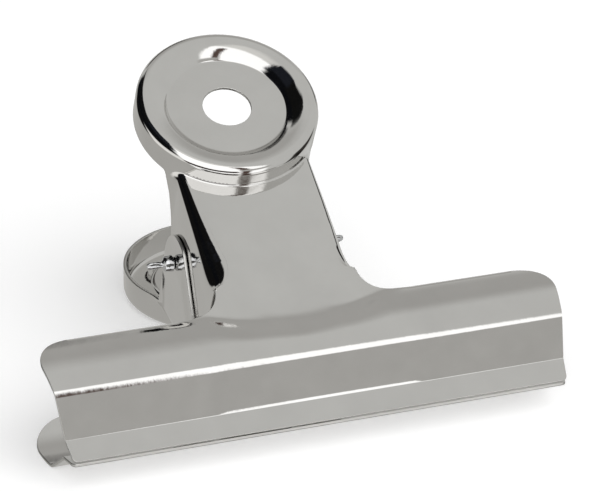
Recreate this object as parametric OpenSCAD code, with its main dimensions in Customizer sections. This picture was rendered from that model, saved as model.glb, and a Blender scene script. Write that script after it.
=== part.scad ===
// Bulldog letter clip: two pressed sheet-steel halves that a coiled wire spring
// closes about one pin. The clip lies on its rear half, as it does on a desk,
// with X along the jaws, +Y from the lips to the thumb discs and +Z up.
// The halves are drawn in the clip's own frame, where Y runs from the lips to the
// discs, Z is the distance from the plane where the lips meet, and the front half
// is above. The last step tilts the whole clip until the rear half rests.

/* [Sheet] */
// Thickness of the pressed steel sheet
sheet_t = 0.5; // [0.4:0.05:0.6]
// Outer radius of the folds between the neck and the ears
fold_r = 1.8; // [1.2:0.1:2.4]
// Gap between the two halves' ears, and between the ears and the pin's collars
ear_gap = 0.35; // [0.3:0.05:0.5]
// Gap between the closed lips
lip_gap = 0.1; // [0.05:0.05:0.3]

/* [Jaws] */
// Width of the jaws at the lips
jaw_w = 74; // [60:1:90]
// Degrees that the jaws' ends lean outward from the lips to the back
end_lean = 8.6; // [4:0.2:12]
// Radius of the corners at the jaws' back
jaw_corner_r = 5.2; // [3:0.1:7]
// Radius of the corners at the lips
lip_corner_r = 0.8; // [0.3:0.1:1.5]
// Width of the lip, from its edge to the crease
lip_band = 3.42; // [2.8:0.02:4]
// Slope of the lip
lip_slope = 23.5; // [18:0.5:26]
// Radius of the crease, on its hollow side
crease_r = 0.45; // [0.3:0.05:0.8]
// Width of the steep band, from the crease to the ridge
steep_band = 6.46; // [5.6:0.02:7]
// Slope of the steep band
steep_slope = 52.9; // [50:0.1:55]
// Outer radius of the ridge
ridge_r = 1.1; // [0.8:0.05:1.5]
// Outer radius of the rolled back
roll_r = 12.67; // [12:0.01:13.5]
// Slope at which the roll leaves the ridge
roll_slope = 25.3; // [23:0.1:28]
// Degrees that the roll turns before the shoulders' edge
roll_sweep = 45.8; // [43:0.1:48]

/* [Thumb discs] */
// Distance of the discs' centres from the lips
disc_u = 51.94; // [50:0.01:54]
// Height of the discs' faces over the plane where the lips meet
disc_v = 16.96; // [16:0.01:18]
// Degrees that the discs' faces lean away from that plane
disc_tilt = 12.1; // [10:0.1:13]
// Outer radius of the rim
rim_r = 13.89; // [13:0.01:15]
// Height of the rim over the disc's flat
rim_h = 2.0; // [1.6:0.05:2.4]
// Radius of the rim's round crest
crest_r = 1.5; // [1.2:0.05:1.8]
// Radius of the disc's flat
flat_r = 8.7; // [7:0.1:9.5]
// Depth of the rim's outer wall under the disc's flat
skirt_h = 2.83; // [2.4:0.01:3.4]
// Diameter of the hanging hole
hang_d = 7.5; // [5:0.1:9]

/* [Neck and ears] */
// Depth of the neck's face under the disc's flat
neck_drop = 1.35; // [1.1:0.05:1.6]
// Half the width over the front half's ears, at the pin
ear_half_w = 10.5; // [9.5:0.1:11.5]
// Degrees that each side of the neck widens towards the jaws
neck_taper = 1; // [0:0.1:1.4]
// Radius of the bowed fold between the neck and the roll
bow_r = 30; // [26:1:60]
// Distance of that fold's lowest point from the disc's centre
bow_w = 38.75; // [38:0.05:39.2]
// Slope of the step along that fold
bow_slope = 30; // [25:1:45]
// Distance from the pin to the ears' edge on the discs' side
ear_nose = 4.8; // [4:0.1:5.5]
// How far the ears pass the pin
ear_past = 5.4; // [4.5:0.1:5.8]
// Distance from the disc's centre to the end of the front half's folds
front_heel_w = 31.5; // [30:0.1:32.5]
// Distance from the disc's centre to the end of the rear half's folds
rear_heel_w = 28.2; // [26:0.1:30]
// Height over the pin at which an ear's slanted edge ends
ear_knee = 3; // [2:0.1:4]
// Distance from the disc's centre to the front ears' edge at the rim
front_edge_w = 7.75; // [7.4:0.05:9.4]
// Distance from the disc's centre to the rear ears' edge at the rim
rear_edge_w = 9.0; // [8.4:0.05:9.4]

/* [Pin] */
// Distance of the pin from the lips
pin_u = 38.1; // [37:0.1:39]
// Diameter of the pin
pin_d = 1.8; // [1.4:0.1:2.2]
// Radial clearance of the pin in the ears
pin_clear = 0.05; // [0.03:0.01:0.08]
// Diameter of the swaged collars that hold the pin
collar_d = 2.4; // [2.3:0.1:3]
// Width of a collar
collar_w = 1.5; // [0.8:0.1:2]
// Diameter of the pin's waist beyond a collar
waist_d = 0.9; // [0.7:0.1:1.2]
// Length of the waist
waist_w = 0.6; // [0.3:0.1:0.8]
// Length of the flattened tip
tip_w = 2.0; // [1.2:0.1:2.2]
// Height of the flattened tip
tip_h = 1.3; // [1:0.05:1.6]
// Thickness of the flattened tip
tip_t = 0.7; // [0.5:0.05:0.9]

/* [Spring] */
// Diameter of the spring's wire
wire_d = 1.1; // [0.8:0.05:1.3]
// Mean diameter of the coil
coil_d = 4.4; // [4:0.1:5]
// Full turns of the coil
coil_turns = 6; // [4:1:7]
// Advance of the coil in one turn
coil_pitch = 1.65; // [1.6:0.05:2]
// Distance of each foot's bend from the disc's centre
foot_w = 6.6; // [6:0.1:7]
// Length of each foot, which lies along the disc's back
foot_l = 3; // [2:0.1:4]
// Gap between a foot and the disc's back
foot_gap = 0.1; // [0.05:0.05:0.3]

/* [Hidden] */
$fn = 96;
// One overrun for every cut
over = 1;
// Largest turn between two points of a bend
bend_step = 4;
// Half the width at the outer face of the rear half's ears
rear_half_w = ear_half_w + sheet_t + ear_gap;
disc_c = cos(disc_tilt);
disc_s = sin(disc_tilt);

function unit(v) = v / norm(v);
function flip(list) = [for (i = [len(list) - 1 : -1 : 0]) list[i]];

// A face of a bent sheet, as [point, heading] pairs: a leg is [length, turn, radius]
function walk(p, a, legs, i = 0) =
    i == len(legs) ? [[p, a]] :
    let(leg = legs[i])
    let(q = p + leg[0] * [cos(a), sin(a)])
    let(reach = (leg[1] > 0 ? 1 : -1) * leg[2])
    let(middle = q + reach * [-sin(a), cos(a)])
    let(steps = ceil(abs(leg[1]) / bend_step))
    concat(
        leg[0] > 0 ? [[p, a]] : [],
        [for (k = [0 : steps - 1])
            let(b = a + leg[1] * k / steps)
            [middle - reach * [-sin(b), cos(b)], b]],
        walk(middle - reach * [-sin(a + leg[1]), cos(a + leg[1])], a + leg[1], legs, i + 1));

// The sheet's outline: its outer face, then its inner face a sheet away
function sheet_outline(path) = concat(
    [for (s = path) s[0]],
    flip([for (s = path) s[0] + sheet_t * [sin(s[1]), -cos(s[1])]]));

// A corner [x, y, radius] between its two neighbours, as the points of its arc
function corner_arc(a, b, c) =
    let(p = [b[0], b[1]])
    let(to_a = unit([a[0], a[1]] - p), to_c = unit([c[0], c[1]] - p))
    let(half = acos(to_a * to_c) / 2)
    let(middle = p + unit(to_a + to_c) * b[2] / sin(half))
    let(from = p + to_a * b[2] / tan(half) - middle, to = p + to_c * b[2] / tan(half) - middle)
    let(start = atan2(from[1], from[0]), raw = atan2(to[1], to[0]) - start)
    let(turn = raw > 180 ? raw - 360 : raw < -180 ? raw + 360 : raw)
    let(steps = ceil(abs(turn) / (2 * bend_step)))
    b[2] == 0 ? [p] :
    [for (k = [0 : steps]) middle + b[2] * [cos(start + turn * k / steps), sin(start + turn * k / steps)]];

function rounded(corners) =
    let(n = len(corners))
    [for (i = [0 : n - 1]) each corner_arc(corners[(i + n - 1) % n], corners[i], corners[(i + 1) % n])];

// Jaw section, from the lip's edge to the shoulders' edge
crease_turn = steep_slope - lip_slope;
ridge_turn = steep_slope - roll_slope;
crease_cut = crease_r * tan(crease_turn / 2);
ridge_cut = ridge_r * tan(ridge_turn / 2);
lip_v = lip_gap / 2 + sheet_t * cos(lip_slope);
jaw_legs = [
    [lip_band - crease_cut, crease_turn, crease_r],
    [steep_band - crease_cut - ridge_cut, -ridge_turn, ridge_r],
    [0, -roll_sweep, roll_r]];
jaw_path = walk([0, lip_v], lip_slope, jaw_legs);
shoulder = jaw_path[len(jaw_path) - 1][0];
shoulder_slope = roll_slope - roll_sweep;
roll_centre = shoulder + roll_r * [sin(shoulder_slope), -cos(shoulder_slope)];
jaw_half_back = jaw_w / 2 + shoulder[0] * tan(end_lean);

// A point of the clip's frame from its distance w down the disc's plane and its height h
function disc_pt(w, h) = [disc_u - w * disc_c - h * disc_s, disc_v - w * disc_s + h * disc_c];
// Distance down the disc's plane and height over it, of a point of the clip's frame
function down_disc(p) = (disc_u - p[0]) * disc_c + (disc_v - p[1]) * disc_s;
function over_disc(p) = (disc_u - p[0]) * disc_s - (disc_v - p[1]) * disc_c;
shoulder_w = down_disc(shoulder);
shoulder_h = over_disc(shoulder);
pin_w = down_disc([pin_u, 0]);

// Rim: one arc rises from the flat and meets the crest's arc
crest_at = rim_r - crest_r;
rim_turn = 2 * atan(rim_h / (crest_at - flat_r));
rise_r = (rim_h - crest_r + crest_r * cos(rim_turn)) / (1 - cos(rim_turn));
rim_steps = 8;

// Resting tilt: the rear roll and the rear rim's near side touch the desk together
crest_v = rim_h - crest_r;
near_crest = disc_pt(crest_at, crest_v);
far_crest = disc_pt(-crest_at, crest_v);
rest_side = [near_crest[0] - roll_centre[0], near_crest[1] - roll_centre[1]];
rest_tilt = acos((roll_r - crest_r) / norm(rest_side)) - atan2(rest_side[0], rest_side[1]);
rest_low = roll_centre[0] * sin(rest_tilt) - roll_centre[1] * cos(rest_tilt) - roll_r;
rest_back = far_crest[0] * cos(rest_tilt) + far_crest[1] * sin(rest_tilt) + crest_r;
rest_front = -lip_v * sin(rest_tilt);

// Lays the clip down, with its origin under the middle of its box
module lie_down() {
    translate([0, -(rest_front + rest_back) / 2, -rest_low]) rotate([rest_tilt, 0, 0]) children();
}

// The disc's own frame: Z out of its face, -Y down the neck
module disc_frame() {
    translate([0, disc_u, disc_v]) rotate([disc_tilt, 0, 0]) children();
}

// Draws a side view across the whole width
module across(width) {
    rotate([90, 0, 90]) linear_extrude(width, center = true) children();
}

// The jaws' outline from above
module jaw_plan() {
    polygon(rounded([
        [-jaw_w / 2, 0, lip_corner_r],
        [jaw_w / 2, 0, lip_corner_r],
        [jaw_half_back, shoulder[0], jaw_corner_r],
        [-jaw_half_back, shoulder[0], jaw_corner_r]]));
}

// A cone about the bowed fold's centre, whose radius at the neck's face is r
module bow_cone(r, flare, low, high) {
    run = flare / tan(bow_slope);
    translate([0, bow_r - bow_w, low - neck_drop])
        cylinder(h = high - low, r1 = r + low * run, r2 = r + high * run);
}

module jaw() {
    difference() {
        intersection() {
            across(2 * jaw_half_back) polygon(sheet_outline(jaw_path));
            linear_extrude(roll_r) jaw_plan();
        }
        disc_frame() bow_cone(bow_r, 1, -4 * sheet_t, 4 * sheet_t);
    }
}

// Step along the bowed fold, where the neck lies lower than the roll
module bow_step() {
    intersection() {
        across(2 * rear_half_w) polygon(concat([for (s = jaw_path) s[0]], [[shoulder[0], 0]]));
        disc_frame() difference() {
            bow_cone(bow_r + sheet_t / sin(bow_slope), 1, -sheet_t, 4 * sheet_t);
            bow_cone(bow_r, 1, -sheet_t - over, 4 * sheet_t + over);
        }
    }
}

function rim_arc(r) = [for (k = [0 : rim_steps])
    let(a = rim_turn * k / rim_steps)
    [flat_r + r * sin(a), rise_r - r * cos(a)]];
function crest_arc(r) = [for (k = [1 : 2 * rim_steps])
    let(a = -rim_turn + (rim_turn + 90) * k / (2 * rim_steps))
    [crest_at + r * sin(a), crest_v + r * cos(a)]];

// Dished disc with its rolled rim, down to where the outer wall starts
module dish() {
    rotate_extrude() polygon(concat(
        [[0, 0]],
        rim_arc(rise_r),
        crest_arc(crest_r),
        flip(crest_arc(crest_r - sheet_t)),
        flip(rim_arc(rise_r + sheet_t)),
        [[0, -sheet_t]]));
}

// Half the width over the neck at a distance w from the disc's centre
function neck_half(half_w, w) = half_w + (w - pin_w) * tan(neck_taper);

// Both sides of something drawn for +X, each side turned by the neck's taper
module both_sides(half_w) {
    for (side = [0, 1]) mirror([side, 0, 0])
        translate([neck_half(half_w, 0), 0, -neck_drop]) rotate([0, 0, neck_taper]) children();
}

// Section of one fold and its ear, from the fold's outer corner
ear_depth = disc_v + ear_past;
fold_path = concat(walk([-fold_r - sheet_t, 0], 0, [[sheet_t, -90, fold_r]]), [[[0, -ear_depth], -90]]);
fold_outline = sheet_outline(fold_path);
// What the fold takes out of the rim's outer wall on one side, up to the sheet's middle
fold_inside = concat(
    [[-neck_half(ear_half_w, 0) - over, -ear_depth], [-neck_half(ear_half_w, 0) - over, -sheet_t / 2]],
    [for (s = fold_path) s[0] + sheet_t / 2 * [sin(s[1]), -cos(s[1])]]);

// An extrusion down the neck of a section across it
module down_neck(from, to) {
    translate([0, -from, 0]) rotate([90, 0, 0]) linear_extrude(to - from) children();
}

// Side view of everything that the ears and the rim's outer wall may fill. Each ear's
// edge runs square to the neck down to the knee, and then slants past the pin.
function knee(end_w) = disc_pt(end_w, (ear_knee - disc_v + end_w * disc_s) / disc_c);
function ear_side(end_w, edge_w) = rounded([
    concat(disc_pt(end_w, 0), [0]),
    concat(knee(end_w), [4 * ear_knee / 3]),
    [knee(end_w)[0] + ear_knee + ear_past, -ear_past, ear_knee],
    [pin_u + ear_nose, -ear_past, ear_nose - sheet_t / 2],
    [pin_u + ear_nose, 0, 0],
    concat(disc_pt(edge_w, -skirt_h), [2 * sheet_t]),
    concat(disc_pt(-rim_r - over, -skirt_h), [0]),
    concat(disc_pt(-rim_r - over, rim_h + over), [0])]);

// The folded ears and the rim's outer wall, which runs down into them
module ears(half_w, heel_w, edge_w) {
    intersection() {
        across(4 * rim_r) polygon(ear_side(heel_w + sheet_t / 2, edge_w));
        disc_frame() {
            difference() {
                both_sides(half_w) down_neck(0, shoulder_w) polygon(fold_outline);
                translate([0, 0, -2 * disc_v]) cylinder(h = 4 * disc_v, r = rim_r - sheet_t / 2);
            }
            difference() {
                translate([0, 0, -3 * skirt_h]) cylinder(h = 3 * skirt_h + crest_v, r = rim_r);
                translate([0, 0, -4 * skirt_h]) cylinder(h = 6 * skirt_h, r = rim_r - sheet_t);
                both_sides(half_w) down_neck(0, 2 * rim_r) polygon(fold_inside);
            }
        }
    }
}

// Small fillet at the foot of the rim, over the neck
module rim_foot(half_w) {
    foot = 1.2 * sheet_t;
    intersection() {
        rotate_extrude() polygon(concat(
            [[rim_r - sheet_t / 2, -neck_drop - sheet_t / 2], [rim_r + foot, -neck_drop - sheet_t / 2]],
            [for (k = [0 : rim_steps])
                let(a = 90 * k / rim_steps)
                [rim_r + foot - foot * sin(a), -neck_drop + foot - foot * cos(a)]],
            [[rim_r - sheet_t / 2, -neck_drop + foot]]));
        translate([0, -rim_r, 0]) cube([2 * (half_w - 1.2 * fold_r), 2 * rim_r, 4 * neck_drop], center = true);
    }
}

// Flat of the neck from above: it reaches into the folds as far as the heel, and is
// wide enough for the shoulders below
module neck_plan(half_w, heel_w) {
    inset = (fold_r + sheet_t / 2) / cos(neck_taper);
    wide = neck_half(half_w, heel_w) + shoulder_w - heel_w;
    side = [
        [neck_half(half_w, 0) - inset, 0],
        [neck_half(half_w, heel_w) - inset, -heel_w],
        [wide, -heel_w],
        [wide, -bow_w - over]];
    polygon(concat(side, [for (p = flip(side)) [-p[0], p[1]]]));
}

// Slanted corners that lead from the neck down to the shoulders' edge
module shoulder_webs(half_w, heel_w) {
    cut_r = shoulder_w - heel_w;
    slant = atan((-shoulder_h - neck_drop) / cut_r);
    web_l = cut_r / cos(slant) + sheet_t;
    for (side = [-1, 1]) translate([side * (neck_half(half_w, heel_w) + cut_r / 2), -heel_w, -neck_drop])
        rotate([slant, 0, 0]) translate([-side * sheet_t / 2, -web_l / 2, -sheet_t / 2])
        cube([cut_r + sheet_t, web_l, sheet_t], center = true);
}

// Neck from the rim to the bowed fold, with a round cut-out on each side over the shoulders
module neck(half_w, heel_w) {
    cut_r = shoulder_w - heel_w;
    difference() {
        union() {
            intersection() {
                translate([0, 0, -neck_drop - sheet_t]) linear_extrude(sheet_t) neck_plan(half_w, heel_w);
                bow_cone(bow_r, -1, -sheet_t - over, over);
            }
            shoulder_webs(half_w, heel_w);
        }
        translate([0, 0, -2 * neck_drop - over]) cylinder(h = 2 * (neck_drop + over), r = rim_r - sheet_t / 2);
        for (side = [-1, 1]) translate([side * (neck_half(half_w, heel_w) + cut_r), -heel_w, -4 * neck_drop])
            cylinder(h = 4 * neck_drop, r = cut_r);
    }
}

// One whole pressed half, drawn above the plane where the lips meet
module half(half_w, heel_w, edge_w) {
    difference() {
        union() {
            jaw();
            bow_step();
            ears(half_w, heel_w, edge_w);
            disc_frame() {
                dish();
                rim_foot(half_w);
                neck(half_w, heel_w);
            }
        }
        disc_frame() translate([0, 0, -over]) cylinder(h = 2 * over, d = hang_d);
        across(4 * rim_r) translate([pin_u, 0]) circle(d = pin_d + 2 * pin_clear);
    }
}

module front_plate() {
    color("#c9ccd0") lie_down() half(ear_half_w, front_heel_w, front_edge_w);
}

module rear_plate() {
    color("#bfc3c8") lie_down() mirror([0, 0, 1]) half(rear_half_w, rear_heel_w, rear_edge_w);
}

// Pin with a swaged collar, a waist and a flattened tip at each end
pin_face = rear_half_w + ear_gap / 2;
module pivot_pin() {
    color("#d8dade") lie_down() translate([0, pin_u, 0]) rotate([0, 90, 0]) {
        cylinder(h = 2 * (pin_face + collar_w), d = pin_d, center = true);
        for (side = [0, 1]) mirror([0, 0, side]) {
            translate([0, 0, pin_face]) cylinder(h = collar_w, d = collar_d);
            translate([0, 0, pin_face + collar_w - sheet_t]) cylinder(h = waist_w + 2 * sheet_t, d = waist_d);
            translate([0, 0, pin_face + collar_w + waist_w + tip_w / 2])
                intersection() {
                    cube([tip_h, tip_t, tip_w], center = true);
                    rotate([90, 0, 0]) cylinder(h = tip_h, r = tip_w * 0.55, center = true);
                }
        }
    }
}

// Spring: one wire whose feet bear on the discs' backs and whose coil rides on the pin
coil_r = coil_d / 2;
coil_l = coil_turns * coil_pitch;
foot_h = -sheet_t - foot_gap - wire_d / 2;
foot_bend = disc_pt(foot_w, foot_h) - [pin_u, 0];
foot_tip = disc_pt(foot_w - foot_l, foot_h) - [pin_u, 0];
leg_angle = atan2(foot_bend[1], foot_bend[0]) + acos(coil_r / norm(foot_bend));
coil_sweep = 360 * coil_turns - 2 * leg_angle + 360;
coil_rings = 8;
wire_sides = 6;

// The wire's centre line, from the front foot through the coil to the rear foot
leg_steps = 6;
foot_line = [foot_tip, foot_bend, coil_r * [cos(leg_angle), sin(leg_angle)]];
lead_in = concat(
    [for (k = [0 : 1]) foot_line[0] + (foot_line[1] - foot_line[0]) * k / 2],
    [for (k = [0 : leg_steps - 1]) foot_line[1] + (foot_line[2] - foot_line[1]) * k / leg_steps]);
coil_count = round(coil_sweep / 360 * coil_rings);
coil_line = [for (k = [0 : coil_count])
    let(a = leg_angle + coil_sweep * k / coil_count)
    [-coil_l / 2 + coil_l * k / coil_count, coil_r * cos(a), coil_r * sin(a)]];
wire_line = concat(
    [for (p = lead_in) [-coil_l / 2, p[0], p[1]]],
    coil_line,
    flip([for (p = lead_in) [coil_l / 2, p[0], -p[1]]]));

// Sideways direction of a ring: from the wire towards the pin's axis, square to the wire
function along(i) = unit(wire_line[min(i + 1, len(wire_line) - 1)] - wire_line[max(i - 1, 0)]);
function ring(i) =
    let(t = along(i))
    let(b = unit([1, 0, 0] - ([1, 0, 0] * t) * t), n = cross(b, t))
    [for (k = [0 : wire_sides - 1])
        let(a = 360 * k / wire_sides)
        wire_line[i] + wire_d / 2 * (cos(a) * n + sin(a) * b)];

module wire_tube() {
    rings = len(wire_line);
    points = [for (i = [0 : rings - 1]) each ring(i)];
    sides = [for (i = [0 : rings - 2], k = [0 : wire_sides - 1])
        let(a = i * wire_sides + k, b = i * wire_sides + (k + 1) % wire_sides)
        each [[a, b, b + wire_sides], [a, b + wire_sides, a + wire_sides]]];
    last = (rings - 1) * wire_sides;
    caps = [for (k = [1 : wire_sides - 2])
        each [[0, k + 1, k], [last, last + k, last + k + 1]]];
    polyhedron(points, concat(sides, caps));
}

// Least gap of the wire to itself, between points half a turn or more apart
self_gap = min([for (i = [0 : len(wire_line) - 1], j = [i + coil_rings / 2 : len(wire_line) - 1])
    norm(wire_line[i] - wire_line[j])]) - wire_d;
echo(spring_least_gap = self_gap);

module torsion_spring() {
    color("#a8adb3") lie_down() translate([0, pin_u, 0]) wire_tube();
}

front_plate();
rear_plate();
pivot_pin();
torsion_spring();
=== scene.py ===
# %% [markdown]
# # A bright-plated bulldog clip, dressed around its CAD frame
# The clip is four pieces: two pressed steel halves, the pin that they turn on and
# the wire spring that closes them. The CAD model already has every size and every
# joint, so this lesson only builds finer skins over the same shapes and gives each
# one the finish of the real metal. We load the frame first.

# %% Load the imported frame
import math

import bpy
import numpy as np
from mathutils import Matrix, geometry


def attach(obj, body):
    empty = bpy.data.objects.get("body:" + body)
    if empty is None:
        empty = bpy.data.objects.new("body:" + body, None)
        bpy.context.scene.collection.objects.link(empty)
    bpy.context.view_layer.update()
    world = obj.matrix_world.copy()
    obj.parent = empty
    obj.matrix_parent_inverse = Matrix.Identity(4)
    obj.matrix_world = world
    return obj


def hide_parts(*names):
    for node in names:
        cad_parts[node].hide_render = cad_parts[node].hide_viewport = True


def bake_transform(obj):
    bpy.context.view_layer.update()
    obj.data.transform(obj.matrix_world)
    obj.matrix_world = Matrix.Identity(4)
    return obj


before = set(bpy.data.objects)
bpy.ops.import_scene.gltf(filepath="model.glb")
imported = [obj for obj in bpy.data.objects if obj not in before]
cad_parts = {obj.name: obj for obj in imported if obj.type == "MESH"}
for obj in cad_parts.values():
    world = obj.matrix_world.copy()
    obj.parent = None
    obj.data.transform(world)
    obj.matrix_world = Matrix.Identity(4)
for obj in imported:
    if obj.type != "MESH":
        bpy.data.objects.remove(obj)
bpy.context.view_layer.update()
print("CAD nodes:", sorted(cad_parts))

# %% [markdown]
# ## The clip's own frame
# Stampings are easiest to describe before the clip is laid on the desk: x runs
# along the jaws, u from the lips to the thumb discs, and v away from the plane
# where the lips meet. The thumb disc has a frame of its own too, with w down the
# neck and h over the disc's face. Two small functions lead from the disc to the
# clip and from the clip to the desk. Lengths here are millimetres, as on a drawing.

# %% Sizes from the drawing
SHEET = 0.5  # thickness of the steel
LIP_V = 0.5085  # outer face of a lip, with the lips closed
TILT, LOW, MIDDLE = math.radians(15.64), 5.09347, 34.1747  # how the clip lies on the desk
DISC_U, DISC_V, DISC_TILT = 51.94, 16.96, math.radians(12.1)  # the front disc's centre
DISC_C, DISC_S = math.cos(DISC_TILT), math.sin(DISC_TILT)
RIM_R, RIM_H, CREST_R, HOLE_R = 13.89, 2.0, 1.25, 3.75  # the disc's rim, its crest, the hole
FLAT_R, FLAT_H, COVE_R = 8.9, 0.5, 0.5  # the flat round the hole, and the bend at its edge
SKIRT, NECK_DROP = 2.83, 1.35  # the rim's edge and the neck, below the disc's zero
PIN_U, PIN_R, PIN_HOLE_R, EAR_GAP = 38.1, 0.9, 0.95, 0.35  # the gap is between the ears
JAW_W, JAW_CORNER_R, LIP_CORNER_R = 74.0, 5.2, 0.8
END_LEAN = math.tan(math.radians(8.6))  # the jaw's ends lean out towards the roll

# Half the width at the pin, the w where the folds end, the w where an ear meets the
# rim, the side of the clip, how far the ears are nipped in, and the ear's outline:
# the height of its knee and the corners (u, v, radius) of its lobe.
FRONT = {"half_w": 10.5, "heel_w": 31.5, "edge_w": 7.75, "side": 1, "nip": 0,
         "knee_v": 3.0, "lobe": [(31.12, -5.4, 3), (42.9, -5.4, 4.55), (42.9, 0, 0)]}
REAR = {"half_w": 11.35, "heel_w": 28.2, "edge_w": 9.0, "side": -1, "nip": 0.27,
        "knee_v": 6.4, "lobe": [(35.3, -4.5, 2), (42.6, -4.5, 6.0)]}


def on_desk(points):
    """Points (x, u, v) of the clip in millimetres, as row-frame points in metres."""
    x, u, v = np.asarray(points, float).T
    c, s = math.cos(TILT), math.sin(TILT)
    return np.stack([x, u * c - v * s - MIDDLE, u * s + v * c + LOW], 1) / 1000


def from_disc(points, side):
    """Points (x, w, h) of a disc's frame, as (x, u, v) of the clip."""
    x, w, h = np.asarray(points, float).T
    u, v = DISC_U - w * DISC_C - h * DISC_S, DISC_V - w * DISC_S + h * DISC_C
    return np.stack([x, u, side * v], 1)


def to_disc(u, v):
    """(w, h) of the disc's frame for a point of the clip's side view."""
    return ((DISC_U - u) * DISC_C + (DISC_V - v) * DISC_S,
            (DISC_U - u) * DISC_S - (DISC_V - v) * DISC_C)


PIN_W, PIN_H = to_disc(PIN_U, 0)
print(f"pin at w {PIN_W:.2f}, h {PIN_H:.2f} in the disc's frame")

# %% [markdown]
# ## The jaw's section
# A press brake makes the jaw in straight runs and bends: a lip, a sharp crease, a
# steep band, a ridge and one large roll. A spline through measured points could
# stand for it, but it would ripple, and bright metal shows that. Walking along the
# line with a heading gives exact points, and the same walk with short steps gives a
# table that we can look heights up in.

# %% Walk along the section
def bent_line(start, heading, legs, spacing, arc_step):
    """Rows (u, v) of a line of legs (straight length, turn in degrees, radius)."""
    u, v, a = *start, math.radians(heading)
    rows = [(u, v)]
    for straight, turn, radius in legs:
        n = max(1, round(straight / spacing))
        moves = [(straight / n, 0)] * n if straight else []
        n = math.ceil(abs(turn) / arc_step)
        half = math.radians(turn) / n / 2
        moves += [(2 * radius * math.sin(abs(half)), half)] * n
        for length, half_turn in moves:
            a += half_turn
            u, v = u + length * math.cos(a), v + length * math.sin(a)
            a += half_turn
            rows.append((u, v))
    return np.array(rows)


LIP_RUN, LIP_RISE = 3.42, 23.5  # the lip's length, and its slope in degrees
CREASE_R, CREASE_TURN = 0.18, 29.4
BAND_RUN = 6.46  # the steep band's length between sharp corners
RIDGE_R, RIDGE_TURN = 2.6, 29.628
RIDGE_CUT = 0.652  # what the rounded ridge takes off the band
ROLL_R, ROLL_TURN = 12.67, 43.772
crease_cut = CREASE_R * math.tan(math.radians(CREASE_TURN / 2))
JAW_LEGS = [(LIP_RUN - crease_cut, CREASE_TURN, CREASE_R),
            (BAND_RUN - crease_cut - RIDGE_CUT, -RIDGE_TURN, RIDGE_R), (0, -ROLL_TURN, ROLL_R)]
PAST_ROLL = [(0, -60, ROLL_R)]  # the table goes on past the jaw's end, for the bowed fold
jaw_rows = bent_line((0, LIP_V), LIP_RISE, JAW_LEGS, 0.6, 3.0)
jaw_table = bent_line((0, LIP_V), LIP_RISE, JAW_LEGS + PAST_ROLL, 0.02, 0.25)
table_w, table_h = (t[::-1] for t in to_disc(*jaw_table.T))
SHOULDER_U = jaw_rows[-1, 0]
SHOULDER_W, SHOULDER_H = to_disc(*jaw_rows[-1])
print(f"{len(jaw_rows)} rows; the shoulders' edge is at w {SHOULDER_W:.2f}, h {SHOULDER_H:.2f}")

# %% [markdown]
# ## One skin for the neck and the jaw
# The neck is flat and the jaw is rolled, and they meet in a bowed fold. Seen
# square to the disc, both are a height over the same plane, so one height function
# holds them. A plain switch would leave a knife edge, so the distance past the
# fold is rounded first, and the small step at the fold fades out over the roll.

# %% Height of the neck and the jaw
BOW_W, BOW_R, BOW_SOFT = 38.75, 30.0, 1.3  # the bowed fold: its lowest point, bow, rounding
STEP_FADE, SHOULDER_SOFT = 3.0, 0.6  # the step's fade length, and the bow's soft ends
NECK_SPREAD = math.tan(math.radians(1))  # the neck widens by 1 degree on each side
FOLD_TABLE = {"w": (9, 12, 18, 23, 27), "radius": (1.1, 1.35, 1.8, 2.35, 3.0)}
FOLD_END_R, FOLD_RUN_OUT = 0.25, 4.6
EAR_EDGE = {"w": (13.6, 20.8, 28.2), "h": (-19.0, -17.5, -4.8)}


def smooth(low, high, t):
    """0 at low, 1 at high, with soft ends."""
    t = np.clip((t - low) / (high - low), 0, 1)
    return t * t * (3 - 2 * t)


def neck_half(d, w):
    """Half the width over the neck, at a distance w down from the disc's centre."""
    return d["half_w"] + (w - PIN_W) * NECK_SPREAD


def ear_half(d, w, h):
    """The same at the ears. The rear ears are nipped in along their free edge."""
    from_edge = h - np.interp(w, EAR_EDGE["w"], EAR_EDGE["h"])
    return neck_half(d, w) - d["nip"] * smooth(6.5, 0.8, from_edge) * smooth(-4.6, -7.5, h)


def fold_radius(d, w):
    """The fold is tight at the rim, roundest near the heel, and runs out at its end."""
    left = np.clip((d["heel_w"] - w) / FOLD_RUN_OUT, 0, 1)
    full = np.interp(w, FOLD_TABLE["w"], FOLD_TABLE["radius"])
    return FOLD_END_R + (full - FOLD_END_R) * np.sqrt(1 - (1 - left) ** 2)


def bow_line(x):
    """The w of the bowed fold, which levels off softly at the shoulders."""
    past = BOW_W - BOW_R + np.sqrt(np.maximum(BOW_R**2 - x**2, 0)) - SHOULDER_W
    return SHOULDER_W + (past + np.sqrt(past**2 + SHOULDER_SOFT)) / 2


def plate_height(d, x, w):
    """The h of the neck and the jaw over any point of the disc's plane."""
    x = np.abs(x)
    cut = SHOULDER_W - d["heel_w"]
    fold = bow_line(x)
    edge = neck_half(d, d["heel_w"]) + cut

    def neck(at):
        past = at - d["heel_w"]
        past = (past + np.sqrt(past**2 + 1)) / 2  # beside the ears' heels, rise to the jaw
        drop = (SHOULDER_H + NECK_DROP) / cut
        return -NECK_DROP + drop * past * smooth(edge - cut - 6.5, edge - cut + 1.5, x)

    def roll(at, past, gap):
        return np.interp(at, table_w, table_h) - gap * np.exp(-((past / STEP_FADE) ** 2))

    gap = np.interp(fold, table_w, table_h) - neck(fold)
    soft = BOW_SOFT * (1 - smooth(edge - 2, edge + 3, x)) + 1e-6
    past = (w - fold + np.sqrt((w - fold) ** 2 + soft**2)) / 2
    return neck(np.minimum(w, fold)) + roll(fold + past, past, gap) - roll(fold, 0, gap)


print("step at the middle of the bowed fold:",
      round(float(np.interp(BOW_W, table_w, table_h)) + NECK_DROP, 2), "mm")

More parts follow.
